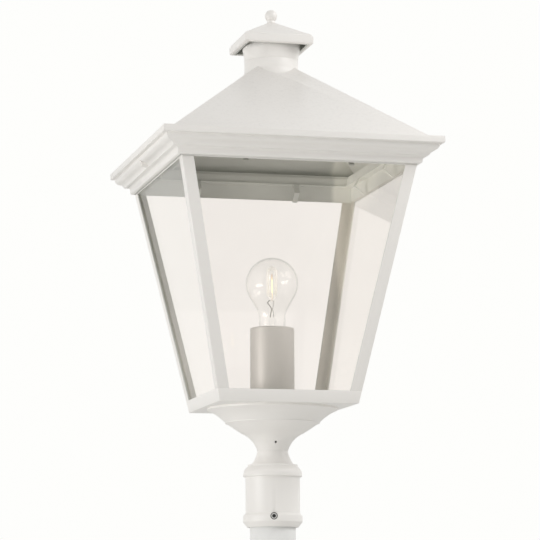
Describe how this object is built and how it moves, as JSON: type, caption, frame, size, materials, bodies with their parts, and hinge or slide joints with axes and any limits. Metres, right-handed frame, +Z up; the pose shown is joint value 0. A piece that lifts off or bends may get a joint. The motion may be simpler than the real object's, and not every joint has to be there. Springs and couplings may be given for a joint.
{
  "type": "post top lantern",
  "caption": "Square tapered post top lantern with glass sides, a moulded cornice, a pyramid roof with a vent cap and ball finial, and a round collar that fits over a post.",
  "frame": {"origin": "centre of the collar's mouth, where the post goes in", "axes": "+Z up along the post, the front pane faces -Y, +X to its right"},
  "size_m": [0.3174, 0.3174, 0.5967],
  "materials": {
    "white_coat": "white powder coat, satin",
    "grey_coat": "warm grey satin coat",
    "clear_glass": "clear float glass, faint green tint",
    "bulb_envelope": "clear blown glass, glossy",
    "zinc_steel": "zinc plated, dull",
    "stainless": "plain stainless steel",
    "brass": "plain turned brass",
    "cap_alloy": "thin drawn aluminium",
    "ceramic": "glazed ceramic",
    "block_plastic": "moulded polyamide",
    "black_glass": "vitrite insulator",
    "live_sheath": "brown lead insulation",
    "neutral_sheath": "blue lead insulation",
    "earth_sheath": "green and yellow lead insulation",
    "filament": "dark tungsten wire"
  },
  "bodies": {
    "lantern": {"post_collar": "white_coat", "collar_grub_screws": "stainless", "bell": "white_coat", "base_tray": "white_coat", "corner_post_front_left": "white_coat", "corner_post_front_right": "white_coat", "corner_post_back_right": "white_coat", "corner_post_back_left": "white_coat", "top_frame": "white_coat", "glass_front": "clear_glass", "glass_right": "clear_glass", "glass_back": "clear_glass", "glass_left": "clear_glass", "glass_retainers_lower": "white_coat", "glass_retainers_upper": "white_coat", "centre_tube": "zinc_steel", "tube_nuts": "zinc_steel", "tube_washer": "zinc_steel", "sleeve_foot": "zinc_steel", "lampholder_sleeve": "grey_coat", "holder_bracket": "zinc_steel", "holder_body": "ceramic", "holder_screws": "zinc_steel", "contact_shell": "brass", "centre_contact": "brass", "terminal_block": "block_plastic", "terminal_screws": "zinc_steel", "lead_live": "live_sheath", "lead_neutral": "neutral_sheath", "lead_earth": "earth_sheath", "earth_screw": "brass"},
    "bulb": {"bulb_glass": "bulb_envelope", "bulb_cap": "cap_alloy", "bulb_insulator": "black_glass", "bulb_contact": "brass", "bulb_stem": "bulb_envelope", "capsule_glass": "bulb_envelope", "capsule_filament": "filament", "capsule_supports": "filament"},
    "roof": {"cornice": "white_coat", "roof_carrier": "white_coat", "roof_side_right": "white_coat", "roof_side_back": "white_coat", "roof_side_left": "white_coat", "roof_side_front": "white_coat", "roof_upstand": "white_coat", "chimney_neck": "white_coat", "vent_cap": "white_coat", "cap_bridge": "zinc_steel", "cap_nuts": "zinc_steel", "finial_ball": "white_coat", "cap_rod": "zinc_steel", "screw_bushes": "stainless"},
    "roof_screw_left": {"roof_screw_left": "stainless"},
    "roof_screw_right": {"roof_screw_right": "stainless"}
  },
  "joints": [
    {"name": "roof_lift", "type": "slide", "parent": "lantern", "child": "roof", "axis": [0, 0, 1], "range_m": [0, 0.12]},
    {"name": "roof_screw_left_out", "type": "slide", "parent": "roof", "child": "roof_screw_left", "axis": [-1, 0, 0], "range_m": [0, 0.006]},
    {"name": "roof_screw_right_out", "type": "slide", "parent": "roof", "child": "roof_screw_right", "axis": [1, 0, 0], "range_m": [0, 0.006]},
    {"name": "bulb_out", "type": "slide", "parent": "lantern", "child": "bulb", "axis": [0, 0, 1], "range_m": [0, 0.035]}
  ]
}
